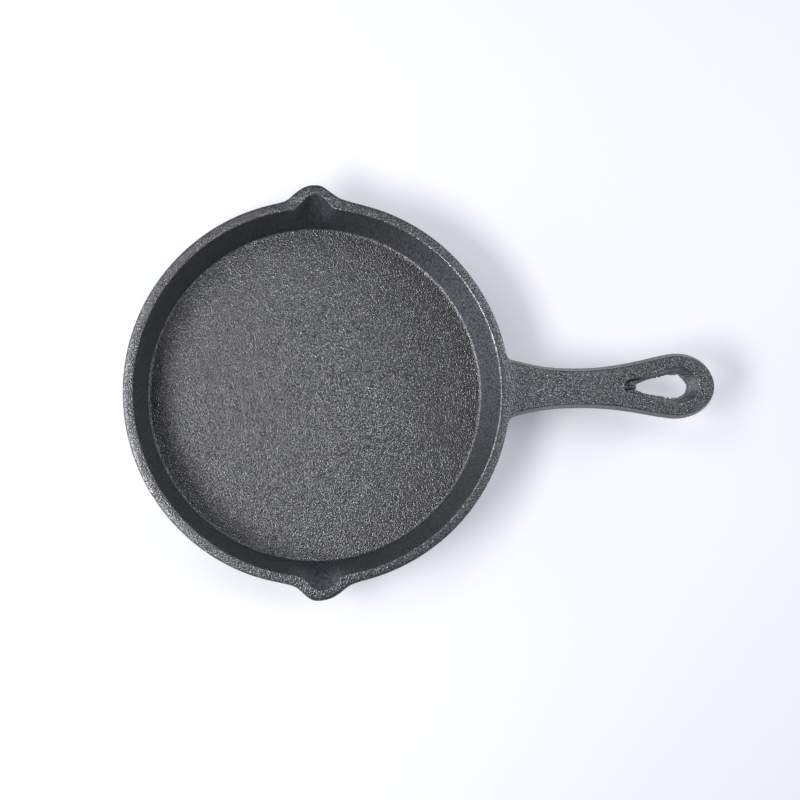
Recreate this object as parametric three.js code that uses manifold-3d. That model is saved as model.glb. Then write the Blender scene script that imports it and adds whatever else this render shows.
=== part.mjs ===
// Cast iron skillet, 16 cm class, millimetres, +Z up.
// One iron casting: round pan, two pour spouts and a flat handle with a
// teardrop hanging hole, poured in one mould.  The origin is the centre of the
// underside, the handle runs along +X and the pour spouts point to +Y and -Y.
import * as THREE from 'three';
import { mergeVertices } from 'three/addons/utils/BufferGeometryUtils.js';
import Module from 'manifold-3d';

// ---------------------------------------------------------------- dimensions
// Pan
const PAN_HEIGHT = 30.0;          // underside to rim
const RIM_RADIUS = 80.0;          // outside of the rim
const RIM_INNER_RADIUS = 75.8;    // inside edge of the rim's flat top
const BASE_THICKNESS = 3.5;       // underside to cooking surface
const FLOOR_RADIUS = 71.6;        // where the cooking surface meets the wall
const FOOT_RADIUS = 75.3;         // outside of the wall, projected to the table
const FOOT_CORNER = 3.0;          // rounding between the underside and the wall
const FLOOR_CORNER = 0.8;         // rounding between the cooking surface and the wall
const RIM_OUTER_EDGE = 0.9;       // rounding of the rim's outside edge
const RIM_INNER_EDGE = 0.45;      // rounding of the rim's inside edge

// Pour spouts: how far the rim swells outwards, and how deep the notch inside it
// is, as [degrees about +Z from the handle, millimetres]
const SPOUT_OUTSIDE = [
  [[75.5, 0], [79.3, 0.25], [82.6, 0.85], [85.1, 2.5], [86.8, 4.2], [88.4, 5.55], [89.8, 5.8], [91.3, 5.75],
    [92.4, 5.4], [93.7, 4.65], [96.0, 2.65], [98.0, 0.65], [99.4, 0.15], [101.0, 0]],
  [[-100.5, 0], [-98.5, 0.4], [-97.1, 1.2], [-95.9, 2.6], [-94.7, 4.15], [-93.4, 5.45], [-92.2, 6.0],
    [-90.7, 6.0], [-88.6, 5.55], [-86.7, 4.6], [-84.8, 3.1], [-83.0, 1.4], [-81.4, 0.5], [-78.8, 0.05], [-77.0, 0]],
];
const SPOUT_INSIDE = [
  [[82.0, 0], [83.7, 0.15], [84.8, 0.6], [86.1, 2.3], [87.5, 4.5], [88.7, 5.45], [90.2, 5.8], [91.8, 5.45],
    [93.1, 4.4], [94.8, 2.15], [96.1, 0.4], [97.2, 0]],
  [[-98.0, 0], [-96.4, 0.3], [-95.2, 1.4], [-94.4, 2.8], [-93.5, 4.0], [-92.0, 5.1], [-90.4, 5.6], [-88.2, 5.1],
    [-86.8, 3.8], [-85.4, 1.8], [-84.2, 0.35], [-82.5, 0]],
];
const SPOUT_OUTSIDE_ROOT = 9.0;   // height where the swelling leaves the outer wall
const SPOUT_INSIDE_ROOT = 6.0;    // height where the trough leaves the inner wall

// Handle
const HANDLE_TOP = 28.8;          // flat top face, just below the rim
const HANDLE_THICKNESS = 8.0;
const HANDLE_DRAFT = 1.5;         // how far each side leans in from the parting line
const HANDLE_ROOT_BLEND = 9.0;    // length over which the handle thickens into the wall
const HANDLE_ROOT_DROP = 4.0;     // extra depth where it meets the wall
// outline at the parting line, from the pan to the tip and back
const HANDLE_PLUS_Y = [
  [77.2, 14.9], [79.3, 14.0], [81.0, 12.5], [83.6, 11.85], [87.1, 11.0], [90.5, 10.2], [95.6, 9.25],
  [100.8, 8.65], [106.0, 8.45], [111.0, 8.4], [116.3, 8.5], [121.5, 8.95], [126.8, 9.6],
  [132.0, 10.45], [137.3, 11.5], [142.6, 12.65], [147.0, 13.55], [150.5, 14.1], [153.2, 14.25],
  [156.7, 13.85], [160.2, 12.8], [163.0, 11.3], [165.4, 9.3], [167.5, 6.5], [168.9, 3.4],
];
const HANDLE_MINUS_Y = [
  [169.45, 0.0], [168.9, -3.4], [167.5, -6.2], [165.4, -8.85], [163.0, -10.7], [160.2, -12.1], [156.7, -13.2],
  [153.2, -13.65], [150.5, -13.6], [147.0, -13.15], [142.6, -12.4], [137.3, -11.4], [132.0, -10.45],
  [126.8, -9.6], [121.5, -9.0], [116.3, -8.6], [111.0, -8.35], [106.0, -8.4], [100.8, -8.55],
  [95.6, -8.95], [90.5, -9.7], [87.1, -10.3], [83.6, -11.2], [81.4, -12.1], [79.7, -13.4], [77.0, -16.2],
];
const HANDLE_EMBED_RADIUS = 77.3; // the handle starts inside the wall's thickness

// Hanging hole: a small tip circle and a large round end joined by tangents,
// tightest at the parting line and opening towards both faces
const HOLE_WAIST = { tipX: 135.3, tipR: 0.9, endX: 152.1, endR: 4.9, y: 0.0 };
const HOLE_MOUTH = { tipX: 131.2, tipR: 2.7, endX: 154.2, endR: 7.4, y: 0.4 };

// Fineness of the faceting
const ROUND_SEGMENTS = 128;

// ------------------------------------------------------------------ helpers
const smooth = (t) => { const c = Math.min(1, Math.max(0, t)); return c * c * (3 - 2 * c); };

function table(points, x) {
  if (x <= points[0][0]) return points[0][1];
  for (let i = 1; i < points.length; i++) {
    if (x <= points[i][0]) {
      const [x0, y0] = points[i - 1];
      const [x1, y1] = points[i];
      return y0 + (y1 - y0) * (x - x0) / (x1 - x0);
    }
  }
  return points[points.length - 1][1];
}

// A closed geometry with shared vertices merged and no collapsed triangles
function closed(geometry) {
  const g = geometry.clone();
  g.deleteAttribute('normal');
  g.deleteAttribute('uv');
  const merged = mergeVertices(g, 1e-4);
  const index = merged.index.array;
  const kept = [];
  for (let i = 0; i < index.length; i += 3) {
    const [a, b, c] = [index[i], index[i + 1], index[i + 2]];
    if (a !== b && b !== c && c !== a) kept.push(a, b, c);
  }
  merged.setIndex(kept);
  return merged;
}

function volume(geometry) {
  const p = geometry.attributes.position;
  const index = geometry.index.array;
  const [a, b, c] = [new THREE.Vector3(), new THREE.Vector3(), new THREE.Vector3()];
  let sum = 0;
  for (let i = 0; i < index.length; i += 3) {
    a.fromBufferAttribute(p, index[i]);
    b.fromBufferAttribute(p, index[i + 1]);
    c.fromBufferAttribute(p, index[i + 2]);
    sum += a.dot(b.cross(c)) / 6;
  }
  return sum;
}

const wasm = await Module();
wasm.setup();

function solid(geometry) {
  const g = closed(geometry);
  const index = Array.from(g.index.array);
  if (volume(g) < 0) {
    for (let i = 0; i < index.length; i += 3) [index[i + 1], index[i + 2]] = [index[i + 2], index[i + 1]];
  }
  return new wasm.Manifold(new wasm.Mesh({
    numProp: 3,
    vertProperties: Float32Array.from(g.attributes.position.array),
    triVerts: Uint32Array.from(index),
  }));
}

function geometryOf(manifold) {
  const mesh = manifold.getMesh();
  const g = new THREE.BufferGeometry();
  g.setAttribute('position', new THREE.BufferAttribute(Float32Array.from(mesh.vertProperties), 3));
  g.setIndex(new THREE.BufferAttribute(Uint32Array.from(mesh.triVerts), 1));
  g.computeVertexNormals();
  return g;
}

// ---------------------------------------------------------------------- pan
// Radius of the inner and of the outer wall at a height
const innerWall = (z) => FLOOR_RADIUS
  + (RIM_INNER_RADIUS - FLOOR_RADIUS) * (z - BASE_THICKNESS) / (PAN_HEIGHT - BASE_THICKNESS);
const outerWall = (z) => FOOT_RADIUS + (RIM_RADIUS - FOOT_RADIUS) * z / PAN_HEIGHT;

// Profile from the underside's centre, up the outside, over the rim, down the
// inside and back to the cooking surface's centre.  Each entry also says which
// wall it belongs to, because the spouts move the two walls differently.
const profile = [];
const add = (r, z, side) => profile.push({ r, z, side });
add(0, 0, 'base');
add(FOOT_RADIUS - FOOT_CORNER, 0, 'base');
for (const a of [30, 60, 85]) {
  const t = THREE.MathUtils.degToRad(a);
  add(FOOT_RADIUS - FOOT_CORNER + FOOT_CORNER * Math.sin(t) + 0.4 * a / 85,
    FOOT_CORNER * (1 - Math.cos(t)), 'out');
}
for (const z of [10, 15, 20, 25]) add(outerWall(z), z, 'out');
add(outerWall(PAN_HEIGHT - RIM_OUTER_EDGE), PAN_HEIGHT - RIM_OUTER_EDGE, 'out');
add(RIM_RADIUS - RIM_OUTER_EDGE * 0.3, PAN_HEIGHT - RIM_OUTER_EDGE * 0.3, 'out');
add(RIM_RADIUS - RIM_OUTER_EDGE, PAN_HEIGHT, 'out');
add(RIM_INNER_RADIUS + RIM_INNER_EDGE, PAN_HEIGHT, 'in');
add(innerWall(PAN_HEIGHT - RIM_INNER_EDGE), PAN_HEIGHT - RIM_INNER_EDGE, 'in');
for (const z of [24, 18, 12]) add(innerWall(z), z, 'in');
add(innerWall(BASE_THICKNESS + FLOOR_CORNER), BASE_THICKNESS + FLOOR_CORNER, 'in');
add(FLOOR_RADIUS - FLOOR_CORNER * 0.3, BASE_THICKNESS + FLOOR_CORNER * 0.3, 'in');
add(FLOOR_RADIUS - FLOOR_CORNER, BASE_THICKNESS, 'base');
add(0, BASE_THICKNESS, 'base');

function panGeometry() {
  const g = new THREE.LatheGeometry(profile.map((p) => new THREE.Vector2(p.r, p.z)), ROUND_SEGMENTS);
  g.rotateX(Math.PI / 2);
  const p = g.attributes.position;
  const rows = profile.length;
  for (let i = 0; i < p.count; i++) {
    const { r, z, side } = profile[i % rows];
    if (r === 0) { p.setXYZ(i, 0, 0, z); continue; }
    // columns are crowded together near the spouts
    const u = Math.atan2(p.getY(i), p.getX(i));
    const angle = u + 0.35 * Math.sin(2 * u);
    let radius = r;
    const degrees = THREE.MathUtils.radToDeg(Math.atan2(Math.sin(angle), Math.cos(angle)));
    const [tables, from, upTo] = side === 'out'
      ? [SPOUT_OUTSIDE, SPOUT_OUTSIDE_ROOT, PAN_HEIGHT - RIM_OUTER_EDGE]
      : [SPOUT_INSIDE, SPOUT_INSIDE_ROOT, PAN_HEIGHT];
    if (side !== 'base') {
      for (const t of tables) radius += table(t, degrees) * smooth((z - from) / (upTo - from));
    }
    p.setXYZ(i, radius * Math.cos(angle), radius * Math.sin(angle), z);
  }
  return g;
}

// ------------------------------------------------------------------- handle
function handleGeometry() {
  const outline = new THREE.Shape();
  const start = THREE.MathUtils.degToRad(11.0);
  const stop = THREE.MathUtils.degToRad(-11.9);
  outline.moveTo(HANDLE_EMBED_RADIUS * Math.cos(stop), HANDLE_EMBED_RADIUS * Math.sin(stop));
  for (const a of [-6, 0, 6]) {
    const t = THREE.MathUtils.degToRad(a);
    outline.lineTo(HANDLE_EMBED_RADIUS * Math.cos(t), HANDLE_EMBED_RADIUS * Math.sin(t));
  }
  outline.lineTo(HANDLE_EMBED_RADIUS * Math.cos(start), HANDLE_EMBED_RADIUS * Math.sin(start));
  for (const [x, y] of HANDLE_PLUS_Y.slice(1)) outline.lineTo(x, y);
  for (const [x, y] of HANDLE_MINUS_Y.slice(0, -1)) outline.lineTo(x, y);
  outline.closePath();
  const half = HANDLE_THICKNESS / 2;
  const g = new THREE.ExtrudeGeometry(outline, {
    depth: 0.6, bevelEnabled: true, bevelSegments: 1,
    bevelThickness: half - 0.3, bevelSize: HANDLE_DRAFT, bevelOffset: -HANDLE_DRAFT,
  });
  g.translate(0, 0, HANDLE_TOP - half - 0.3);
  const p = g.attributes.position;
  const middle = HANDLE_TOP - half;
  for (let i = 0; i < p.count; i++) {
    const [x, z] = [p.getX(i), p.getZ(i)];
    const root = smooth(1 - (x - 79.5) / HANDLE_ROOT_BLEND);
    if (z < middle - 1) p.setZ(i, z - HANDLE_ROOT_DROP * root * root);
    else if (z > middle + 1) p.setZ(i, Math.min(PAN_HEIGHT - 0.05, z + 1.4 * root * root));
  }
  return g;
}

// Outline of the hanging hole, always with the same number of points
function teardrop({ tipX, tipR, endX, endR, y }, points = 15) {
  const lean = Math.asin((endR - tipR) / (endX - tipX));
  const list = [];
  for (let i = 0; i < points; i++) {
    const a = -Math.PI / 2 - lean + (Math.PI + 2 * lean) * i / (points - 1);
    list.push(new THREE.Vector2(endX + endR * Math.cos(a), y + endR * Math.sin(a)));
  }
  for (let i = 0; i < 7; i++) {
    const a = Math.PI / 2 + lean + (Math.PI - 2 * lean) * i / 6;
    list.push(new THREE.Vector2(tipX + tipR * Math.cos(a), y + tipR * Math.sin(a)));
  }
  return list;
}

function holeGeometry() {
  const waist = teardrop(HOLE_WAIST);
  const mouth = teardrop(HOLE_MOUTH);
  const half = HANDLE_THICKNESS / 2;
  // a straight plug of the waist's outline, whose end rings are then opened out
  // to the mouth, a little beyond each face
  const g = new THREE.ExtrudeGeometry(new THREE.Shape(waist), {
    depth: HANDLE_THICKNESS, steps: 2, bevelEnabled: false,
  });
  const p = g.attributes.position;
  const beyond = 0.25;
  for (let i = 0; i < p.count; i++) {
    const [x, y, z] = [p.getX(i), p.getY(i), p.getZ(i)];
    const end = z < 0.01 ? -1 : z > HANDLE_THICKNESS - 0.01 ? 1 : 0;
    let [nx, ny] = [x, y];
    if (end !== 0) {
      let k = 0;
      waist.forEach((w, j) => { if (Math.hypot(w.x - x, w.y - y) < 1e-3) k = j; });
      nx = mouth[k].x + (mouth[k].x - waist[k].x) * beyond / half;
      ny = mouth[k].y + (mouth[k].y - waist[k].y) * beyond / half;
    }
    p.setXYZ(i, nx, ny, HANDLE_TOP - half + (z - half) + end * beyond);
  }
  return g;
}

// ------------------------------------------------------------------ casting
const casting = solid(panGeometry())
  .add(solid(handleGeometry()))
  .subtract(solid(holeGeometry()));

const seasonedIron = new THREE.MeshStandardMaterial({
  name: 'seasoned_cast_iron', color: 0x2c2c2d, roughness: 0.62, metalness: 0.35,
});

const skillet = new THREE.Group();
const body = new THREE.Mesh(geometryOf(casting), seasonedIron);
body.name = 'skillet_casting';
skillet.add(body);

export default skillet;
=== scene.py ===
import bpy
import math
import numpy as np
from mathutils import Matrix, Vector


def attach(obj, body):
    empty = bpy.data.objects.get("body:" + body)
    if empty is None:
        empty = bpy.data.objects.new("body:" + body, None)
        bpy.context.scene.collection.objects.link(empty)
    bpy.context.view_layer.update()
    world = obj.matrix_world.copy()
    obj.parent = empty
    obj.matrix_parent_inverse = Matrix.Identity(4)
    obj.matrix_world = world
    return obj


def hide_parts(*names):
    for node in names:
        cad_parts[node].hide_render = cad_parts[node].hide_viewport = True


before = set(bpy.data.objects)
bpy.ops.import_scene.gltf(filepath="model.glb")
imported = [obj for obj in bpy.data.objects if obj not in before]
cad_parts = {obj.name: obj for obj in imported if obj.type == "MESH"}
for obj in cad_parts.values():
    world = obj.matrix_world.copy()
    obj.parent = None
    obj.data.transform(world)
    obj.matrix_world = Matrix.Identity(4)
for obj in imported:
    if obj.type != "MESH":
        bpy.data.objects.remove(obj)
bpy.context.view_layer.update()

rng = np.random.default_rng(16)

# =====================================================================
# Shape of the casting, in millimetres, in the row frame: +X along the
# handle, +Z up, origin at the centre of the underside. These are constants
# in the CAD's own frame, and the outlines were measured in the photo.
# =====================================================================
RIM_Z = 30.0                   # crown of the rim
FLOOR_Z = 3.5                  # cooking surface
FLOOR_R, RIM_IN_R = 71.6, 75.8     # inner wall at FLOOR_Z and at RIM_Z
FOOT_R, RIM_R = 75.3, 80.12        # outer wall at z = 0 and at RIM_Z
CROWN_R = 77.0                 # highest ring of the slightly domed rim
R_FLOOR, R_IN, R_OUT, R_FOOT = 1.05, 0.42, 0.82, 3.0

SPOUT_OUT = [
    [[75.5, 0], [79.3, 0.25], [82.6, 0.9], [85.1, 2.65], [86.8, 4.4], [88.4, 5.75], [89.8, 6.05], [91.3, 6.0],
     [92.4, 5.7], [93.7, 5.0], [96.0, 3.1], [98.0, 0.95], [99.4, 0.25], [101.0, 0]],
    [[-100.5, 0], [-98.5, 0.4], [-97.1, 1.2], [-95.9, 2.6], [-94.7, 4.15], [-93.4, 5.45], [-92.2, 6.0],
     [-90.7, 6.0], [-88.6, 5.55], [-86.7, 4.6], [-84.8, 3.1], [-83.0, 1.4], [-81.4, 0.5], [-78.8, 0.05], [-77.0, 0]],
    [[-172.0, 0], [-155.0, 0.14], [-130.0, 0.24], [-112.0, 0.24], [-103.0, 0]],      # slightly out of round
    [[35.0, 0], [50.0, 0.12], [68.0, 0.12], [78.0, 0]],
    [[105.0, 0], [115.0, 0.06], [165.0, 0.06], [178.0, 0]],
    [[-104.0, 0], [-101.0, 0.16], [-97.0, 0.16], [-94.0, 0]],
]
SPOUT_IN = [
    [[82.0, 0], [83.7, 0.15], [84.8, 0.6], [86.1, 2.3], [87.5, 4.5], [88.7, 5.45], [90.2, 5.8], [91.8, 5.45],
     [93.1, 4.4], [94.8, 2.15], [96.1, 0.4], [97.2, 0]],
    [[-98.0, 0], [-96.4, 0.3], [-95.2, 1.4], [-94.4, 2.8], [-93.5, 4.0], [-92.0, 5.1], [-90.4, 5.6], [-88.2, 5.1],
     [-86.8, 3.8], [-85.4, 1.8], [-84.2, 0.35], [-82.5, 0]],
]

HANDLE_TOP = 28.8
HANDLE_MID = 24.8              # parting line
HANDLE_DRAFT = 1.5 / 4.0
HANDLE_PLUS = [
    [66.0, 17.6], [72.0, 15.3], [76.0, 13.9], [80.0, 12.75], [83.6, 11.85], [87.1, 11.0], [90.5, 10.2], [95.6, 9.25],
    [100.8, 8.65], [106.0, 8.45], [111.0, 8.4], [116.3, 8.5], [121.5, 8.95], [126.8, 9.6], [132.0, 10.45],
    [137.3, 11.5], [142.6, 12.65], [147.0, 13.55], [150.5, 14.1], [153.2, 14.25], [156.7, 13.85], [160.2, 12.8],
    [163.0, 11.3], [165.4, 9.3], [167.5, 6.5], [168.9, 3.4]]
HANDLE_MINUS = [
    [169.45, 0.0], [168.9, -3.4], [167.5, -6.2], [165.4, -8.85], [163.0, -10.7], [160.2, -12.1], [156.7, -13.2],
    [153.2, -13.65], [150.5, -13.6], [147.0, -13.15], [142.6, -12.4], [137.3, -11.4], [132.0, -10.45],
    [126.8, -9.6], [121.5, -9.0], [116.3, -8.6], [111.0, -8.35], [106.0, -8.4], [100.8, -8.55], [95.6, -8.95],
    [90.5, -9.7], [87.1, -10.3], [83.6, -11.15], [80.0, -12.2], [76.0, -13.6], [72.0, -15.3], [66.0, -18.2]]
# the hanging hole: on the upper face, at the parting line, and where the web of flash leaves it open
HOLE_MOUTH = [(128.22, 0.1), (129.36, 2.14), (131.17, 3.35), (134.08, 3.75), (140.25, 5.51), (145.68, 6.84),
              (149.32, 7.68), (153.3, 8.01), (156.91, 7.41), (159.4, 5.8), (161.1, 2.75), (161.77, 0.2),
              (161.33, -2.53), (159.42, -4.97), (156.49, -6.5), (153.59, -7.0), (149.59, -6.6), (144.97, -5.46),
              (139.97, -4.16), (134.58, -3.05), (131.0, -2.45), (128.87, -1.4)]
HOLE_WAIST = [(130.3, 0.0), (130.7, 1.7), (132.5, 2.55), (135.5, 2.95), (139.0, 3.35), (142.8, 4.2), (146.5, 5.0),
              (150.0, 5.6), (152.8, 5.6), (155.2, 4.3), (157.0, 1.9), (157.75, -0.7), (157.2, -3.0), (155.5, -4.6),
              (153.0, -5.45), (150.0, -5.5), (146.3, -4.6), (142.6, -3.85), (139.0, -3.1), (135.0, -2.45),
              (132.3, -2.15), (130.8, -1.5)]
HOLE_WEB = [(134.17, -0.33), (135.48, 1.27), (139.15, 2.62), (142.81, 3.64), (144.61, 3.79), (146.47, 4.44),
            (149.37, 4.96), (151.16, 4.55), (152.45, 5.09), (153.71, 4.51), (155.32, 2.74), (156.72, 0.96),
            (157.19, -0.85), (156.61, -2.59), (155.3, -3.81), (153.25, -4.85), (150.18, -4.97), (148.34, -4.6),
            (146.23, -3.67), (142.6, -3.28), (139.0, -2.54), (136.1, -1.43)]


def rmax(a, b, r):
    """Intersection of two solids with a round edge of radius r."""
    return np.minimum(np.maximum(a, b), -r) + np.hypot(np.maximum(a + r, 0), np.maximum(b + r, 0))


def rmin(a, b, r):
    """Union of two solids with a round fillet of radius r."""
    return -rmax(-a, -b, r)


def ramp(t):
    t = np.clip(t, 0, 1)
    return t * t * (3 - 2 * t)


def dense_table(tables, soft=0.42):
    """A smooth curve of millimetres against degrees, from the spout tables."""
    d = np.arange(-180, 180, 0.05)
    v = sum(np.interp(d, *np.array(t, float).T) for t in tables)
    k = np.exp(-0.5 * (np.arange(-40, 41) * 0.05 / soft) ** 2)
    return d, np.convolve(np.r_[v[-40:], v, v[:40]], k / k.sum(), "valid")


BULGE_OUT, BULGE_IN = dense_table(SPOUT_OUT), dense_table(SPOUT_IN)


def bulge(table, theta):
    d = (np.degrees(theta) + 180) % 360 - 180
    return np.interp(d, *table)


# ---- plan outlines as signed distance on a fine lattice, read back with a cubic
def smooth_loop(points, step, soft, closed=True):
    p = np.array(points, float)
    if closed:
        p = np.vstack([p, p[:1]])
    s = np.r_[0, np.cumsum(np.hypot(*np.diff(p, axis=0).T))]
    n = int(s[-1] / step)
    t = np.linspace(0, s[-1], n, endpoint=not closed)
    q = np.c_[np.interp(t, s, p[:, 0]), np.interp(t, s, p[:, 1])]
    m = int(4 * soft / step)
    k = np.exp(-0.5 * (np.arange(-m, m + 1) * step / soft) ** 2)
    k /= k.sum()
    out = np.empty_like(q)
    for c in (0, 1):
        if closed:
            out[:, c] = np.convolve(np.r_[q[-m:, c], q[:, c], q[:m, c]], k, "valid")
        else:
            lead, tail = 2 * q[0, c] - q[m:0:-1, c], 2 * q[-1, c] - q[-2:-m - 2:-1, c]
            out[:, c] = np.convolve(np.r_[lead, q[:, c], tail], k, "valid")
    return out


def polygon_distance(poly, X, Y):
    """Signed distance to a closed polygon, negative inside."""
    x, y = X.ravel(), Y.ravel()
    best = np.full(x.size, 1e9)
    inside = np.zeros(x.size, bool)
    for (ax, ay), (bx, by) in zip(poly, np.roll(poly, -1, axis=0)):
        ex, ey = bx - ax, by - ay
        px, py = x - ax, y - ay
        t = np.clip((px * ex + py * ey) / (ex * ex + ey * ey + 1e-12), 0, 1)
        best = np.minimum(best, (px - ex * t) ** 2 + (py - ey * t) ** 2)
        if ay != by:
            cross = ((ay > y) != (by > y)) & (x < ax + ex * (y - ay) / ey)
            inside ^= cross
    d = np.sqrt(best)
    return np.where(inside, -d, d).reshape(X.shape)


class Lattice:
    def __init__(self, poly, x0, x1, y0, y1, h=0.25):
        self.x0, self.y0, self.h = x0, y0, h
        X, Y = np.meshgrid(np.arange(x0, x1, h), np.arange(y0, y1, h), indexing="ij")
        self.v = polygon_distance(poly, X, Y)

    def __call__(self, x, y):
        u, v = (x - self.x0) / self.h, (y - self.y0) / self.h
        nx, ny = self.v.shape
        u, v = np.clip(u, 1, nx - 3.001), np.clip(v, 1, ny - 3.001)
        i, j = u.astype(int), v.astype(int)
        fu, fv = u - i, v - j

        def w(f):   # cubic B-spline: smooths the outline a little and has smooth slopes
            return ((1 - f) ** 3 / 6, (3 * f ** 3 - 6 * f * f + 4) / 6, (-3 * f ** 3 + 3 * f * f + 3 * f + 1) / 6, f ** 3 / 6)
        wu, wv = w(fu), w(fv)
        out = 0
        for a in range(4):
            row = 0
            for b in range(4):
                row = row + wv[b] * self.v[i + a - 1, j + b - 1]
            out = out + wu[a] * row
        return out


handle_outline = smooth_loop(HANDLE_PLUS + HANDLE_MINUS, 0.4, 1.0, closed=False)
H_OUT = Lattice(handle_outline, 67, 172, -21, 21)
H_WAIST = Lattice(smooth_loop(HOLE_WAIST, 0.3, 0.35), 125, 165, -11, 11, 0.14)
H_MOUTH = Lattice(smooth_loop(HOLE_MOUTH, 0.3, 0.35), 125, 165, -11, 11, 0.14)
# the web's ragged edge, rougher towards the wide end
web = smooth_loop(HOLE_WEB, 0.12, 0.16)
web_s = np.linspace(0, 1, len(web), endpoint=False)
rag = sum(a * np.sin(2 * math.pi * k * web_s + p) for k, a, p in zip(
    (17, 23, 29, 37, 46, 58), (0.07, 0.09, 0.09, 0.08, 0.07, 0.05), rng.uniform(0, 6.28, 6)))
rag = 1.35 * rag * ramp((web[:, 0] - 139) / 4) * (0.45 + 0.55 * ramp((156.0 - web[:, 0]) / 2))
web_n = np.roll(web, -1, axis=0) - np.roll(web, 1, axis=0)
web_n = np.c_[-web_n[:, 1], web_n[:, 0]] / np.maximum(np.hypot(*web_n.T), 1e-9)[:, None]
web = web + web_n * rag[:, None]
H_WEB = Lattice(web, 125, 165, -11, 11, 0.14)


def crown(r):
    """Height of the rim's domed top: nearly flat inside, falling off towards the outside."""
    u = np.clip(r - CROWN_R, -2.5, 5)
    return RIM_Z - 0.034 * u ** 2 - 0.008 * np.maximum(u, 0) ** 3


def pan_profile(r, z):
    """Signed distance of the pan in its (radius, height) section."""
    outer = ((r - FOOT_R) * RIM_Z - z * (RIM_R - FOOT_R)) / math.hypot(RIM_Z, RIM_R - FOOT_R)
    rise, run = RIM_Z - FLOOR_Z, RIM_IN_R - FLOOR_R
    inner = ((r - FLOOR_R) * rise - (z - FLOOR_Z) * run) / math.hypot(rise, run)
    top = z - crown(r)
    hull = rmax(rmax(outer, top, R_OUT), -z, R_FOOT)
    cavity = rmax(inner, FLOOR_Z - z, R_FLOOR)
    return rmax(hull, -cavity, R_IN)


def casting(p):
    """Signed distance of the casting near the handle."""
    x, y, z = p[:, 0], p[:, 1], p[:, 2]
    r = np.hypot(x, y)
    outer = ((r - FOOT_R) * RIM_Z - z * (RIM_R - FOOT_R)) / math.hypot(RIM_Z, RIM_R - FOOT_R)
    rise, run = RIM_Z - FLOOR_Z, RIM_IN_R - FLOOR_R
    inner = ((r - FLOOR_R) * rise - (z - FLOOR_Z) * run) / math.hypot(rise, run)
    cavity = rmax(inner, FLOOR_Z - z, R_FLOOR)
    # the handle's sides and underside, with its root growing out of the wall
    root = ramp(1 - (x - 79.5) / 9.0) ** 2
    side = (H_OUT(x, y) - 0.08 + HANDLE_DRAFT * np.abs(z - HANDLE_MID)) * 0.936
    under = (HANDLE_TOP - 8.0) - 4.0 * root
    handle = rmax(side, under - z, 0.8)
    fillet = 3.2 + 0.6 * ramp((4 - y) / 12)
    body = rmin(outer, handle, fillet)
    # one upper face: the rim's crown runs down onto the handle
    down = HANDLE_TOP + 1.0 * (1 - ramp((r - 78.2) / 7.6))
    away = ramp((np.abs(y) - 15.5) / 3.5)
    blend = ramp((r - 77.5) / 1.5) * (1 - away)
    top = crown(r) * (1 - blend) + down * blend
    edge = R_OUT + (0.32 - R_OUT) * ramp((x - 79.5) / 5.0)
    h = rmax(rmax(body, z - top, edge), -z, R_FOOT)
    near = (x > 124) & (x < 166)
    if near.any():
        xn, yn, zn, hn = x[near], y[near], z[near], h[near]
        tn = np.clip(np.abs(zn - HANDLE_MID) / 4.0, 0, 1.3)
        d = (H_WAIST(xn, yn) * (1 - tn) + H_MOUTH(xn, yn) * tn) * 0.8
        bored = rmax(hn, -d, 0.32)
        # a tongue of metal runs down the middle of the narrow end
        ax, az, bx, bz = 128.9, 27.9, 134.2, 24.6
        t = np.clip(((xn - ax) * (bx - ax) + (zn - az) * (bz - az)) / ((bx - ax) ** 2 + (bz - az) ** 2), 0, 1)
        tongue = np.sqrt((xn - ax - t * (bx - ax)) ** 2 + (yn - 0.1) ** 2 + (zn - az - t * (bz - az)) ** 2) - 0.95
        bored = rmin(bored, tongue, 0.5)
        open_up = 0.22 - 0.42 * ramp((xn - 147) / 5) * ramp((1 - yn) / 2)
        fin = np.maximum(np.abs(zn - HANDLE_MID) - 0.42, open_up - H_WEB(xn, yn))
        fin = np.maximum(fin, H_OUT(xn, yn) + 3)
        h = h.copy()
        h[near] = np.minimum(bored, fin)
    return rmax(h, -cavity, R_IN)


def gradient(f, p, e=0.02):
    g = np.empty_like(p)
    for c in range(3):
        q, s = p.copy(), p.copy()
        q[:, c] += e
        s[:, c] -= e
        g[:, c] = (f(q) - f(s)) / (2 * e)
    return g


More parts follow.
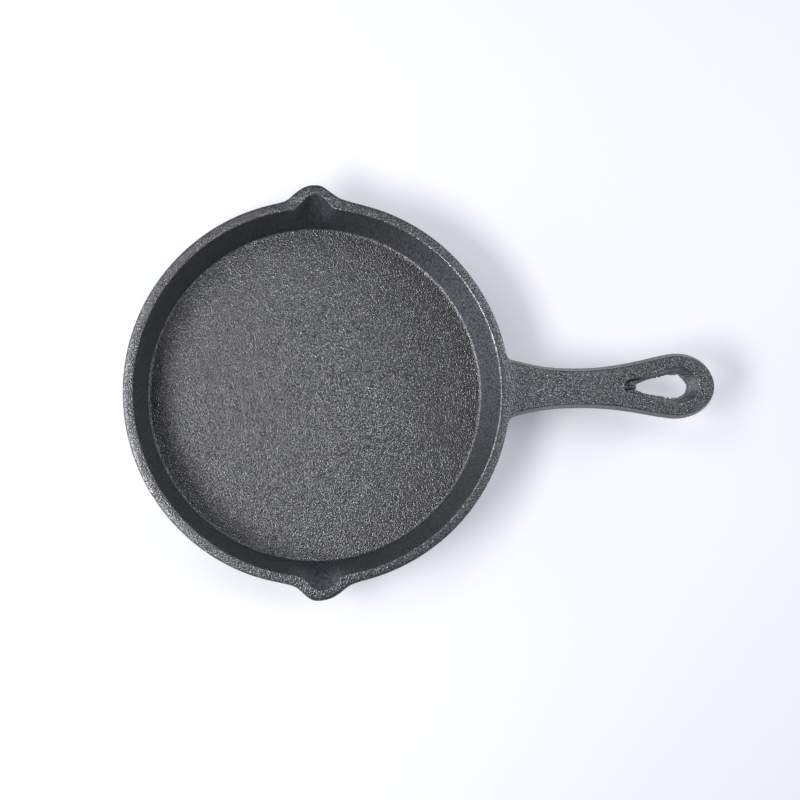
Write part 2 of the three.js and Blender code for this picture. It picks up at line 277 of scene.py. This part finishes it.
# ---- section of the pan as a chain of points, floor to underside
def profile_chain():
    pts = [(r, FLOOR_Z) for r in np.arange(66.4, 70.7, 0.55)]
    for a in np.radians([8, 26, 44, 62, 78]):
        pts.append((FLOOR_R - R_FLOOR + R_FLOOR * math.sin(a) + 0.1, FLOOR_Z + R_FLOOR * (1 - math.cos(a))))
    wall = lambda z: FLOOR_R + (RIM_IN_R - FLOOR_R) * (z - FLOOR_Z) / (RIM_Z - FLOOR_Z)
    pts += [(wall(z), z) for z in np.linspace(4.6, 29.3, 30)]
    for a in np.radians([12, 32, 52, 72, 88]):
        pts.append((RIM_IN_R + R_IN * (1 - math.cos(a)), RIM_Z - R_IN * (1 - math.sin(a)) - 0.03))
    pts += [(r, crown(r)) for r in np.linspace(76.6, 78.9, 7)]
    for a in np.radians([76, 58, 40, 22, 6]):
        pts.append((RIM_R - R_OUT * (1 - math.cos(a)), RIM_Z - 0.35 - R_OUT * (1 - math.sin(a))))
    out = lambda z: FOOT_R + (RIM_R - FOOT_R) * z / RIM_Z
    pts += [(out(z), z) for z in np.linspace(28.4, 3.3, 27)]
    for a in np.radians([82, 68, 54, 40, 27, 14, 3]):
        pts.append((FOOT_R - 2.6 + R_FOOT * math.sin(a), R_FOOT * (1 - math.cos(a))))
    pts += [(r, 0.0) for r in np.linspace(71.6, 66.4, 6)]
    p = np.array(pts)
    for _ in range(6):          # onto the exact section
        d = pan_profile(p[:, 0], p[:, 1])
        e = 0.01
        g = np.c_[(pan_profile(p[:, 0] + e, p[:, 1]) - pan_profile(p[:, 0] - e, p[:, 1])),
                  (pan_profile(p[:, 0], p[:, 1] + e) - pan_profile(p[:, 0], p[:, 1] - e))] / (2 * e)
        g /= np.maximum((g * g).sum(1), 0.25)[:, None]
        step = g * d[:, None]
        p[1:-1] -= step[1:-1]
    return p


PROFILE = profile_chain()
PROFILE_S = np.r_[0, np.cumsum(np.hypot(*np.diff(PROFILE, axis=0).T))]


def bulged(chain, theta):
    """The section's points (M,2) at angles (N,), pushed out by the spouts: (N,M,3)."""
    r, z = chain[:, 0], chain[:, 1]
    b_in = bulge(BULGE_IN, theta)[:, None] * ramp((z - 6.0) / 24.0)[None]
    b_out = bulge(BULGE_OUT, theta)[:, None] * ramp((z - 9.0) / 20.3)[None]
    r_in = FLOOR_R + (RIM_IN_R - FLOOR_R) * (z - FLOOR_Z) / (RIM_Z - FLOOR_Z)
    r_out = FOOT_R + (RIM_R - FOOT_R) * z / RIM_Z
    t = np.clip((r - r_in) / (r_out - r_in), 0, 1)[None]
    rr = r[None] + b_in * (1 - t) + b_out * t
    return np.stack([rr * np.cos(theta)[:, None], rr * np.sin(theta)[:, None], np.broadcast_to(z, rr.shape)], -1)


verts, faces, count = [], [], 0


def add_verts(p):
    global count
    verts.append(np.asarray(p, float).reshape(-1, 3))
    first = count
    count += len(verts[-1])
    return np.arange(first, count)


def zipper(a, ta, b, tb, flip=False):
    """Triangles between two chains of vertex numbers that run side by side."""
    out, i, j, na, nb = [], 0, 0, len(a) - 1, len(b) - 1
    while i < na or j < nb:
        if j == nb or (i < na and ta[i + 1] + ta[i] < tb[j + 1] + tb[j]):
            out.append((a[i], a[i + 1], b[j]))
            i += 1
        else:
            out.append((a[i], b[j + 1], b[j]))
            j += 1
    f = np.array(out, int)
    return f[:, ::-1] if flip else f


# ---- the sector of the handle: a curved grid of cells, and a surface through them
SEC_HALF, SEC_STEP = 20.7, 0.36
NODES_R = np.r_[66.0, 66.8, 67.7, 68.7, 69.7, 70.7, 71.7, 72.7, 73.6, 74.4, 75.0, 75.4, 75.65, 75.95, 76.3, 76.7,
                77.15, 77.6, 78.05, 78.5, 78.9, 79.25, 79.55, 79.85, 80.15, 80.5, np.arange(80.9, 171.6, 0.4)]
NODES_Z = np.r_[-0.6, -0.2, 0.2, 0.6, 1.05, 1.6, 2.2, 2.85, 3.35, 3.65, 4.0, 4.4, 5.0, 5.8, 6.7, 7.6, 8.5, 9.4, 10.3,
                11.2, 12.1, 12.9, 13.6, np.arange(14.2, 24.0, 0.44), np.arange(24.17, 25.6, 0.21),
                np.arange(25.9, 27.9, 0.4), 28.1, 28.32, 28.5, 28.66, 28.82, 29.0, 29.2, 29.5, 29.72, 29.9, 30.1, 30.4, 30.9]
NODES_Y = np.arange(-SEC_HALF, SEC_HALF + 1e-6, SEC_STEP)


def sector_point(yc, rho, z):
    """Grid coordinates to position."""
    slope = (RIM_R - FOOT_R) / RIM_Z
    w = np.interp(rho, [66, 74, 80.6, 90], [0, 1, 1, 0])
    r = rho + slope * (z - RIM_Z) * w
    th = np.arcsin(yc / RIM_R)
    inner = np.minimum(r, 80.0)
    x = inner * np.cos(th) + np.maximum(r - 80.0, 0)
    y = inner * np.sin(th)
    return np.stack([x, y, z + 0 * x], -1)


def sector():
    ny, nr, nz = len(NODES_Y), len(NODES_R), len(NODES_Z)
    J, I, K = np.meshgrid(np.arange(ny), np.arange(nr), np.arange(nz), indexing="ij")
    P = sector_point(NODES_Y[J], NODES_R[I], NODES_Z[K])
    flat = P.reshape(-1, 3)
    D = np.concatenate([casting(c) for c in np.array_split(flat, 12)]).reshape(ny, nr, nz)
    D = np.where(np.abs(D) < 1e-7, 1e-7, D)
    S = D < 0
    cell_hit = np.zeros((ny - 1, nr - 1, nz - 1), int)
    total = np.zeros((ny - 1, nr - 1, nz - 1, 3))
    corners = [(a, b, c) for a in (0, 1) for b in (0, 1) for c in (0, 1)]
    for axis in range(3):
        for o in corners:
            if o[axis]:
                continue
            q = list(o)
            q[axis] = 1
            s0 = tuple(slice(o[d], o[d] + n - 1) for d, n in enumerate((ny, nr, nz)))
            s1 = tuple(slice(q[d], q[d] + n - 1) for d, n in enumerate((ny, nr, nz)))
            hit = S[s0] != S[s1]
            d0, d1 = D[s0][hit], D[s1][hit]
            t = (d0 / (d0 - d1))[:, None]
            total[hit] += P[s0][hit] * (1 - t) + P[s1][hit] * t
            cell_hit += hit
    live = cell_hit > 0
    number = np.full(live.shape, -1)
    number[live] = np.arange(live.sum())
    p = total[live] / cell_hit[live][:, None]
    quads = []
    for axis, (u, v) in enumerate(((1, 2), (2, 0), (0, 1))):
        n = [ny, nr, nz]
        sl0 = [slice(None)] * 3
        sl1 = [slice(None)] * 3
        sl0[axis], sl1[axis] = slice(0, n[axis] - 1), slice(1, n[axis])
        hit = S[tuple(sl0)] != S[tuple(sl1)]
        down = S[tuple(sl0)]
        idx = np.argwhere(hit)
        ok = (idx[:, u] > 0) & (idx[:, v] > 0) & (idx[:, u] < n[u] - 1) & (idx[:, v] < n[v] - 1)
        idx = idx[ok]
        sgn = down[tuple(idx.T)]

        def at(du, dv):
            q = idx.copy()
            q[:, u] += du
            q[:, v] += dv
            return number[tuple(q.T)]
        f = np.c_[at(-1, -1), at(-1, 0), at(0, 0), at(0, -1)]
        f[~sgn] = f[~sgn][:, ::-1]
        quads.append(f)
    return p, np.vstack(quads), live, number


def directed_edges(f):
    return np.vstack([np.c_[f[:, k], f[:, (k + 1) % f.shape[1]]] for k in range(f.shape[1])])


def boundary_loops(f):
    e = directed_edges(f)
    key = e[:, 0].astype(np.int64) * 10_000_000 + e[:, 1]
    back = e[:, 1].astype(np.int64) * 10_000_000 + e[:, 0]
    free = e[~np.isin(key, back)]
    nxt = dict(free.tolist())
    loops = []
    while nxt:
        start = next(iter(nxt))
        loop, here = [], start
        while here in nxt:
            loop.append(here)
            here = nxt.pop(here)
        loops.append(loop)
    return loops


def relax(p, f, fixed, rounds, field, pull=0.5):
    """Evens out the spacing within the surface and puts the points back on it."""
    e = directed_edges(f)
    n = len(p)
    deg = np.bincount(e[:, 0], minlength=n) + np.bincount(e[:, 1], minlength=n)
    for k in range(rounds):
        d = field(p)
        g = gradient(field, p)
        gg = np.maximum((g * g).sum(1), 0.2)
        move = -np.clip(d / gg, -0.3, 0.3)[:, None] * g
        if k < rounds - 2:
            avg = np.stack([(np.bincount(e[:, 0], p[e[:, 1], c], n) + np.bincount(e[:, 1], p[e[:, 0], c], n))
                            for c in range(3)], -1) / deg[:, None]
            t = (avg - p) * pull
            nrm = g / np.sqrt(gg)[:, None]
            t -= (t * nrm).sum(1)[:, None] * nrm
            move = move + t
        move[fixed] = 0
        p = p + move
    return p


def build():
    p, quads, live, number = sector()
    loops = boundary_loops(quads)
    loops.sort(key=len, reverse=True)
    rim_loop = np.array(loops[0])
    # cell columns of every vertex
    cells = np.argwhere(live)
    j_of, i_of = cells[:, 0], cells[:, 1]
    j_last = live.shape[0] - 1
    yc = (NODES_Y[:-1] + NODES_Y[1:]) / 2
    th_col = np.arcsin(yc / RIM_R)
    # first exact positions on the seam: floor row, underside row and the two side columns
    seam = np.zeros(len(p), bool)
    seam[rim_loop] = True
    p = relax(p, quads, np.zeros(len(p), bool), 3, casting)
    side = (j_of == 0) | (j_of == j_last)
    inner = i_of == 0
    for k in np.where(seam & side)[0]:
        r = math.hypot(p[k, 0], p[k, 1])
        th = th_col[j_of[k]]
        p[k, :2] = r * math.cos(th), r * math.sin(th)
    for k in np.where(seam & inner)[0]:
        th = th_col[j_of[k]]
        z = FLOOR_Z if p[k, 2] > 1.7 else 0.0
        p[k] = 66.4 * math.cos(th), 66.4 * math.sin(th), z
    p = relax(p, quads, seam, 9, casting, 0.35)
    ids = add_verts(p)
    faces.append(np.vstack([ids[quads][:, [0, 1, 2]], ids[quads][:, [0, 2, 3]]]))

    # the seam's loop, split at its four corners
    loop = rim_loop.tolist()
    corner = {}
    for k in loop:
        if i_of[k] == 0 and j_of[k] in (0, j_last):
            corner[(int(j_of[k]), p[k, 2] > 1.7)] = k
    start = loop.index(corner[(0, True)])
    loop = loop[start:] + loop[:start]
    second = loop.index(corner[(j_last, True)])
    if second > len(loop) / 2 or j_of[loop[1]] == 0 and i_of[loop[1]] != 0:
        loop = [loop[0]] + loop[:0:-1]
        second = loop.index(corner[(j_last, True)])
    third, fourth = loop.index(corner[(j_last, False)]), loop.index(corner[(0, False)])
    floor_row = np.array(loop[:second + 1])                 # angle increasing
    high_side = np.array(loop[second:third + 1])            # floor to underside, at +angle
    under_row = np.array(loop[third:fourth + 1])[::-1]      # angle increasing
    low_side = np.array(loop[fourth:] + [loop[0]])[::-1]    # floor to underside, at -angle

    # the rest of the pan, column by column
    th0 = th_col[-1]
    edges = np.radians([0, 76, 101, 259, 284, 360])
    steps = np.radians([0.47, 0.34, 0.47, 0.34, 0.47])
    theta = [th0 + np.radians(0.42)]
    while theta[-1] < 2 * math.pi - th0 - np.radians(0.62):
        k = np.searchsorted(edges, theta[-1], side="right") - 1
        theta.append(theta[-1] + steps[min(k, 4)])
    theta = np.array(theta)
    theta = th0 + (theta - th0) * (2 * math.pi - 2 * th0 - np.radians(0.42)) / (theta[-1] - th0)
    grid = bulged(PROFILE, theta)
    n, m = grid.shape[:2]
    g = add_verts(grid).reshape(n, m)
    a, b, c, d = g[:-1, :-1].ravel(), g[1:, :-1].ravel(), g[1:, 1:].ravel(), g[:-1, 1:].ravel()
    alt = ((np.arange(n - 1)[:, None] + np.arange(m - 1)[None]) % 2 == 0).ravel()
    quad1 = np.where(alt[:, None], np.c_[a, c, b], np.c_[a, d, b])
    quad2 = np.where(alt[:, None], np.c_[a, d, c], np.c_[b, d, c])
    faces.append(np.vstack([quad1, quad2]))

    def along(k):
        """How far along the section a vertex lies."""
        q = np.c_[np.hypot(p[k, 0], p[k, 1]), p[k, 2]]
        seg_a, seg_b = PROFILE[:-1], PROFILE[1:]
        e = seg_b - seg_a
        w = q[:, None] - seg_a[None]
        t = np.clip((w * e[None]).sum(-1) / (e * e).sum(-1)[None], 0, 1)
        dist = ((w - t[..., None] * e[None]) ** 2).sum(-1)
        s = dist.argmin(1)
        r = np.arange(len(q))
        return PROFILE_S[s] + t[r, s] * np.hypot(*e[s].T)
    faces.append(zipper(ids[high_side], np.maximum.accumulate(along(high_side)), g[0], PROFILE_S))
    faces.append(zipper(ids[low_side], np.maximum.accumulate(along(low_side)), g[-1], PROFILE_S, flip=True))

    # the two discs, ring by ring
    def disc(row_ids, row_th, col, z, spacing, flip, keep=0.88):
        ring_ids = np.r_[row_ids, g[:, col]]
        ring_t = np.r_[row_th, theta]
        r = 66.4
        while True:
            r2 = r - spacing * keep
            if r2 < spacing * 0.8:
                break
            k = max(6, int(round(2 * math.pi * r2 / spacing)))
            t2 = ring_t[0] + (np.arange(k) + rng.uniform(0, 1)) * 2 * math.pi / k
            new = add_verts(np.c_[r2 * np.cos(t2), r2 * np.sin(t2), np.full(k, z)])
            ta, ia = np.r_[ring_t, ring_t[0] + 2 * math.pi], np.r_[ring_ids, ring_ids[0]]
            tb, ib = np.r_[t2, t2[0] + 2 * math.pi], np.r_[new, new[0]]
            faces.append(zipper(ia, ta, ib, tb, flip))
            ring_ids, ring_t, r = new, t2, r2
        centre = add_verts([[0, 0, z]])[0]
        nxt = np.roll(ring_ids, -1)
        f = np.c_[ring_ids, nxt, np.full(len(nxt), centre)]
        faces.append(f[:, ::-1] if flip else f)

    row_th = th_col[j_of[floor_row]]
    disc(ids[floor_row], row_th, 0, FLOOR_Z, 0.53, False)
    row_th = th_col[j_of[under_row]]
    disc(ids[under_row], row_th, m - 1, 0.0, 1.15, True)
    return np.vstack(verts), np.vstack(faces), loops


V, F, _ = build()


def vertex_normals(v, f):
    n = np.cross(v[f[:, 1]] - v[f[:, 0]], v[f[:, 2]] - v[f[:, 0]])
    out = np.stack([sum(np.bincount(f[:, k], n[:, c], len(v)) for k in range(3)) for c in range(3)], -1)
    return out / np.maximum(np.linalg.norm(out, axis=1), 1e-12)[:, None]


def grain(p, shortest, longest, waves, seed):
    """A random pebbly height with wavelengths in a band, mean 0 and deviation 1."""
    r = np.random.default_rng(seed)
    d = r.normal(size=(waves, 3))
    d /= np.linalg.norm(d, axis=1)[:, None]
    k = 2 * math.pi / np.exp(r.uniform(math.log(shortest), math.log(longest), waves))
    ph = r.uniform(0, 2 * math.pi, waves)
    out = np.zeros(len(p))
    for i in range(waves):
        out += np.sin(p @ (d[i] * k[i]) + ph[i])
    return out / math.sqrt(waves / 2)


N = vertex_normals(V, F)
rad = np.hypot(V[:, 0], V[:, 1])
ang = np.degrees(np.arctan2(V[:, 1], V[:, 0]))
inward = -(N[:, 0] * V[:, 0] + N[:, 1] * V[:, 1]) / np.maximum(rad, 1.0)
in_spout = ramp(2.2 - np.abs(np.abs(ang) - 90.5) / 5.0)
on_floor = ramp((71.45 - rad) / 0.4) * (np.abs(V[:, 2] - FLOOR_Z) < 1.0)
on_wall = ramp((rad - 71.1) / 0.4) * (V[:, 2] > 2.0) * (V[:, 2] < 29.6) * (rad < 77.0 + 5.0 * in_spout) * (N[:, 2] < 0.99 - 0.14 * in_spout) * (inward > -0.05) * (N[:, 2] > -0.2)
on_top = (V[:, 2] > 28.0) * ramp((N[:, 2] - 0.3) / 0.5)
coarse = 0.007 * on_floor + 0.005 * (1 - on_floor) * (1 - on_wall)
height = grain(V, 1.5, 2.6, 90, 5) * coarse
height += grain(V, 5, 16, 40, 6) * 0.008 * (1 - 0.5 * on_wall)
height -= 0.045 * ramp((-N[:, 2] - 0.6) / 0.3) * (V[:, 2] < 1.0)       # the grain of the foot stays above the table
V = V + N * height[:, None]
# a small chip in the rim's outer edge
chip = np.array([79.75 * math.cos(math.radians(-148.2)), 79.75 * math.sin(math.radians(-148.2)), 29.6])
hit = np.exp(-(np.linalg.norm(V - chip, axis=1) / 0.75) ** 2)
V = V - np.c_[np.cos(np.radians(ang)), np.sin(np.radians(ang)), np.full(len(V), 0.8)] * (0.38 * hit)[:, None]
# bright edges, partly wear rubbed by utensils and cloth and partly painted highlight of the lamps: the rim's inner
# edge, the rim's outer band, the ring at the floor's fillet and the mouth of the hole. How bright each side is was
# tuned to the photo; the lobes by direction are painted glints.
lobe = lambda middle, half: ramp(1 - np.abs((ang - middle + 180) % 360 - 180) / half)
# the rim's inner edge: partly wear, partly painted highlight, brightest at 15 degrees
wear_and_highlight = ramp((V[:, 2] - 28.9) / 0.4) * ramp((inward - 0.14) / 0.25) * ramp((N[:, 2] - 0.2) / 0.25) * (rad < 83.5)
wear_and_highlight *= 1.0 * lobe(15, 115)
# painted highlight along the rim's outer edge, strongest on the left, over a faint even wear
outer_band = on_top * ramp((rad - 78.3) / 0.8) * (rad < 81.0)
wear_and_highlight = np.maximum(wear_and_highlight, outer_band * (0.10 + 0.44 * lobe(200, 80) + 0.14 * lobe(100, 60) + 0.12 * lobe(-60, 50)))
# painted highlight: a broken bright line round the floor's fillet, brightest at about 50 degrees
fillet_ring = ramp((rad - 70.9) / 0.3) * (V[:, 2] < 4.6) * (V[:, 2] > 2.0) * (rad < 72.5)
speckle = ramp((np.random.default_rng(9).uniform(0, 1, len(V)) - 0.15) / 0.7)
wear_and_highlight = np.maximum(wear_and_highlight, 0.85 * fillet_ring * lobe(50, 110) * speckle)
soft = np.maximum(0.6 * wear_and_highlight, 0.22 * on_top * ramp((81.5 - rad) / 1.5))
# the hole's mouth: a bright edge all round, partly wear and partly painted highlight
mouth = (V[:, 0] > 126) & (V[:, 0] < 165) & (V[:, 2] > 28.0)
d = np.zeros(len(V))
d[mouth] = 1 - ramp((np.abs(H_MOUTH(V[mouth, 0], V[mouth, 1])) - 0.15) / 0.35)
wear_and_highlight = np.maximum(wear_and_highlight, 0.8 * d * ramp((V[:, 2] - 28.2) / 0.3))

mesh = bpy.data.meshes.new("skillet")
mesh.from_pydata((V / 1000.0).tolist(), [], F.tolist())
mesh.shade_smooth()
# brightness by place on the object, tuned until regions of the render agreed with the photo. Most of it stands in for
# the photo's light, not for a difference in the iron: the inner wall's factor reaches 2.5 on the handle's side and 3 in
# the -Y lip. It turns with the object, so it shows under any other light too.
tone_and_painted_light = 1 + on_wall * (1.5 * lobe(24, 60) - 0.16 * lobe(170, 95) - 0.14 * lobe(112, 32) - 0.10 * lobe(208, 35))
tone_and_painted_light += 0.05 * on_floor * np.exp(-((V[:, 0] + 20) / 35) ** 2 - (V[:, 1] / 45) ** 2)
tone_and_painted_light += 0.22 * on_top * ramp((81.5 - rad) / 1.5) * ramp((rad - 74.5) / 1.0) * lobe(0, 125) * (1 - lobe(0, 22))
in_hole = np.zeros(len(V))
slope = (V[:, 0] > 126) & (V[:, 0] < 165) & (V[:, 2] > 21) & (V[:, 2] < 28.75)
in_hole[slope] = ramp((-H_MOUTH(V[slope, 0], V[slope, 1]) - 0.25) / 0.5) * ramp((V[slope, 0] - 134) / 8)
tone_and_painted_light += (1.3 - 0.9 * ramp((V[:, 0] - 155) / 4)) * in_hole
tone_and_painted_light += on_wall * ramp((V[:, 2] - 12) / 12) * (0.6 * lobe(91, 14) + 2.0 * lobe(-90.5, 14))
tone_and_painted_light += 0.08 * ramp((V[:, 0] - 84) / 6) * (rad > 80.5) - 0.22 * ramp((V[:, 0] - 112) / 34)
for name, values in (("floor", on_floor), ("wall", np.maximum(on_wall, in_hole)), ("wear_and_highlight", wear_and_highlight), ("tone_and_painted_light", tone_and_painted_light), ("soft", soft)):
    mesh.attributes.new(name, "FLOAT", "POINT").data.foreach_set("value", np.asarray(values, np.float32))
mesh.update()
skillet = bpy.data.objects.new("skillet", mesh)
bpy.context.collection.objects.link(skillet)


# =====================================================================
# Materials
# =====================================================================
def material(name):
    m = bpy.data.materials.new(name)
    m.use_nodes = True
    nt = m.node_tree
    return m, nt, nt.nodes["Principled BSDF"]


def math_node(nt, op, a, b=None):
    n = nt.nodes.new("ShaderNodeMath")
    n.operation = op
    for k, v in enumerate((a, b)):
        if v is None:
            continue
        if isinstance(v, (int, float)):
            n.inputs[k].default_value = v
        else:
            nt.links.new(v, n.inputs[k])
    return n.outputs[0]


def noise(nt, co, scale, detail=2.0, rough=0.5, dist=0.0):
    n = nt.nodes.new("ShaderNodeTexNoise")
    nt.links.new(co, n.inputs["Vector"])
    n.inputs["Scale"].default_value = scale
    n.inputs["Detail"].default_value = detail
    n.inputs["Roughness"].default_value = rough
    n.inputs["Distortion"].default_value = dist
    return n.outputs["Fac"]


def attribute(nt, name):
    n = nt.nodes.new("ShaderNodeAttribute")
    n.attribute_type = "GEOMETRY"
    n.attribute_name = name
    return n.outputs["Fac"]


def span(nt, value, lo, hi, to_lo, to_hi):
    n = nt.nodes.new("ShaderNodeMapRange")
    nt.links.new(value, n.inputs["Value"])
    for key, v in (("From Min", lo), ("From Max", hi), ("To Min", to_lo), ("To Max", to_hi)):
        n.inputs[key].default_value = v
    return n.outputs["Result"]


def blend_colour(nt, kind, factor, a, b):
    n = nt.nodes.new("ShaderNodeMix")
    n.data_type = "RGBA"
    n.blend_type = kind
    for key, v in (("Factor", factor), ("A", a), ("B", b)):
        socket = [i for i in n.inputs if i.name == key and i.enabled][0]
        if isinstance(v, (int, float, tuple)):
            socket.default_value = v
        else:
            nt.links.new(v, socket)
    return [o for o in n.outputs if o.enabled][0]


iron, nt, bsdf = material("seasoned_cast_iron")
co = nt.nodes.new("ShaderNodeTexCoord").outputs["Object"]
floor_mask, wall_mask, wear_and_highlight_mask = attribute(nt, "floor"), attribute(nt, "wall"), attribute(nt, "wear_and_highlight")
turned = nt.nodes.new("ShaderNodeMapping")      # keeps the noise's own grid off the flat faces
turned.inputs["Rotation"].default_value = (0.65, 0.42, 0.90)
nt.links.new(co, turned.inputs["Vector"])
pebble = noise(nt, turned.outputs["Vector"], 1850.0, 0.0, 0.5)
grit = noise(nt, turned.outputs["Vector"], 2000.0, 0.0, 0.5)
drawn = nt.nodes.new("ShaderNodeMapping")       # the wall's grain is drawn out down the wall
drawn.inputs["Rotation"].default_value = (0.0, 0.0, 0.37)
drawn.inputs["Scale"].default_value = (1.0, 1.0, 0.33)
nt.links.new(co, drawn.inputs["Vector"])
streak = noise(nt, drawn.outputs["Vector"], 1300.0, 0.0, 0.5)
# height in millimetres: strong pebbles on the floor, finer on the rim and handle, faint on the wall
h_floor = math_node(nt, "MULTIPLY", pebble, 0.36)
h_rest = math_node(nt, "MULTIPLY", pebble, 0.34)
h_rest = math_node(nt, "MULTIPLY", h_rest, math_node(nt, "SUBTRACT", 1.0, math_node(nt, "MULTIPLY", wall_mask, 0.45)))
h_rest = math_node(nt, "MULTIPLY", h_rest, math_node(nt, "SUBTRACT", 1.0, attribute(nt, "soft")))
h = math_node(nt, "ADD", math_node(nt, "MULTIPLY", h_floor, floor_mask),
              math_node(nt, "MULTIPLY", h_rest, math_node(nt, "SUBTRACT", 1.0, floor_mask)))
bump = nt.nodes.new("ShaderNodeBump")
bump.inputs["Strength"].default_value = 1.0
bump.inputs["Distance"].default_value = 0.001
nt.links.new(h, bump.inputs["Height"])
nt.links.new(bump.outputs["Normal"], bsdf.inputs["Normal"])
# colour: dark oxide with faint clouds, and grains that differ a little one from the next, times painted light and shade
# by place; the inner wall takes a darker base and the bright edges a light grey, both partly painted light
cloud = span(nt, noise(nt, co, 60.0, 4.0, 0.6), 0.3, 0.7, 0.94, 1.06)
grains = span(nt, grit, 0.3, 0.7, 0.60, 1.40)
# times the tone attribute: for the most part painted light and shade by place
both = math_node(nt, "MULTIPLY", math_node(nt, "MULTIPLY", cloud, grains), attribute(nt, "tone_and_painted_light"))
streaks = span(nt, streak, 0.3, 0.7, 0.45, 1.55)
both = math_node(nt, "MULTIPLY", both, math_node(nt, "ADD", 1.0, math_node(
    nt, "MULTIPLY", wall_mask, math_node(nt, "SUBTRACT", streaks, 1.0))))
# the inner wall and the hole's slope take their own darker, bluer base, unlike the rest of the same casting: in part
# painted light and shade
iron_and_painted_tone = blend_colour(nt, "MIX", wall_mask, (0.107, 0.107, 0.110, 1), (0.046, 0.049, 0.056, 1))
# light grey along the bright edges, partly rubbed wear and partly painted highlight
rubbed_and_highlight = math_node(nt, "MULTIPLY", wear_and_highlight_mask, span(nt, noise(nt, co, 420.0, 2.0, 0.5), 0.35, 0.65, 0.7, 1.0))
iron_and_painted_tone = blend_colour(nt, "MIX", rubbed_and_highlight, iron_and_painted_tone, (0.30, 0.30, 0.30, 1))
scale = nt.nodes.new("ShaderNodeVectorMath")
scale.operation = "SCALE"
nt.links.new(iron_and_painted_tone, scale.inputs[0])
nt.links.new(both, scale.inputs["Scale"])
nt.links.new(scale.outputs[0], bsdf.inputs["Base Color"])
nt.links.new(math_node(nt, "MULTIPLY", math_node(nt, "SUBTRACT", 1.0, wall_mask), 0.62), bsdf.inputs["Metallic"])
rough = span(nt, noise(nt, co, 240.0, 3.0, 0.55), 0.3, 0.7, 0.305, 0.325)
rough = math_node(nt, "ADD", rough, math_node(nt, "MULTIPLY", wall_mask, 0.12))
rough = math_node(nt, "SUBTRACT", rough, math_node(nt, "MULTIPLY", rubbed_and_highlight, 0.06))
nt.links.new(rough, bsdf.inputs["Roughness"])
bsdf.inputs["IOR"].default_value = 1.95
mesh.materials.append(iron)

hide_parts("skillet_casting")
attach(skillet, "root")

table, nt, bsdf = material("table")
bsdf.inputs["Base Color"].default_value = (0.87, 0.87, 0.87, 1)
bsdf.inputs["Roughness"].default_value = 0.7
bsdf.inputs["Specular IOR Level"].default_value = 0.2
bsdf.inputs["Emission Color"].default_value = (0.93, 0.967, 1.06, 1)     # the table top also glows by itself
nt.links.new(attribute(nt, "glow"), bsdf.inputs["Emission Strength"])
table.cycles.emission_sampling = "NONE"
fm = bpy.data.meshes.new("table")
ring_r, ring_n = (0.0, 0.45, 0.75, 1.05, 1.5, 4.0), 48
ring = [(r * math.cos(2 * math.pi * k / ring_n), r * math.sin(2 * math.pi * k / ring_n), 0.0)
        for r in ring_r[1:] for k in range(ring_n)]
fm.from_pydata([(0, 0, 0)] + ring, [], [(0, 1 + k, 1 + (k + 1) % ring_n) for k in range(ring_n)] + [
    (1 + j * ring_n + k, 1 + (j + 1) * ring_n + k, 1 + (j + 1) * ring_n + (k + 1) % ring_n, 1 + j * ring_n + (k + 1) % ring_n)
    for j in range(len(ring_r) - 2) for k in range(ring_n)])
# its own light is a quarter of display white round the skillet and grows to 0.78 at the far edge, where the lamps don't reach
glow = [0.255] + [g for g in (0.255, 0.30, 0.50, 0.70, 0.78) for k in range(ring_n)]
fm.attributes.new("glow", "FLOAT", "POINT").data.foreach_set("value", glow)
fm.materials.append(table)
floor = bpy.data.objects.new("table", fm)
bpy.context.collection.objects.link(floor)

# =====================================================================
# Camera and lights
# =====================================================================
cam_data = bpy.data.cameras.new("camera")
cam_data.sensor_width = 36.0
cam_data.lens = 36.0 * 1385.114 / 800.0
cam_data.clip_start, cam_data.clip_end = 0.01, 20
camera = bpy.data.objects.new("camera", cam_data)
camera.location = (-0.02750, -0.02941, 0.600)
camera.rotation_euler = [math.radians(a) for a in (2.6607, -6.0333, -1.181)]
bpy.context.collection.objects.link(camera)
bpy.context.scene.camera = camera

# soft boxes aimed at the pan: azimuth, elevation, distance (m), half width and half height (degrees), radiance, tint
KEY, FILL = (0.995, 1.0, 1.04), (0.965, 0.995, 1.085)
LIGHTS = [
    (198, 53, 0.65, 16.5, 9.0, 13.5, KEY),
    (143, 53, 0.65, 12.0, 8.0, 4.9, KEY),
    (181, 23, 1.00, 36.0, 9.0, 2.2, KEY),
    (12, 33, 1.00, 20.0, 14.0, 4.1, FILL),
    (28, 62, 1.00, 16.0, 12.0, 1.9, FILL),
]
aim = Vector((0.03, 0.0, 0.015))
for k, (az, el, d, wide, high, power, tint) in enumerate(LIGHTS):
    a, e = math.radians(az), math.radians(el)
    data = bpy.data.lights.new("softbox_%d" % k, "AREA")
    data.shape = "ELLIPSE"
    rx, ry = d * math.tan(math.radians(wide)), d * math.tan(math.radians(high))
    data.size, data.size_y = 2 * rx, 2 * ry
    data.energy = power * math.pi * math.pi * rx * ry
    data.color = tint
    lamp = bpy.data.objects.new("softbox_%d" % k, data)
    out = Vector((math.cos(a) * math.cos(e), math.sin(a) * math.cos(e), math.sin(e)))
    lamp.location = out * d + aim
    lamp.rotation_mode = "QUATERNION"
    lamp.rotation_quaternion = out.to_track_quat("Z", "Y")
    bpy.context.collection.objects.link(lamp)

world = bpy.data.worlds.new("studio")
bpy.context.scene.world = world
world.use_nodes = True
# a plain backdrop beyond the table's edge: seen, but casting no light of its own
world.node_tree.nodes["Background"].inputs["Color"].default_value = (0.80, 0.82, 0.86, 1)
world.node_tree.nodes["Background"].inputs["Strength"].default_value = 1.0
world.cycles_visibility.diffuse = False
world.cycles_visibility.glossy = False
world.cycles_visibility.transmission = False
world.cycles_visibility.scatter = False

view = bpy.context.scene.view_settings
view.view_transform = "Standard"
view.look = "None"
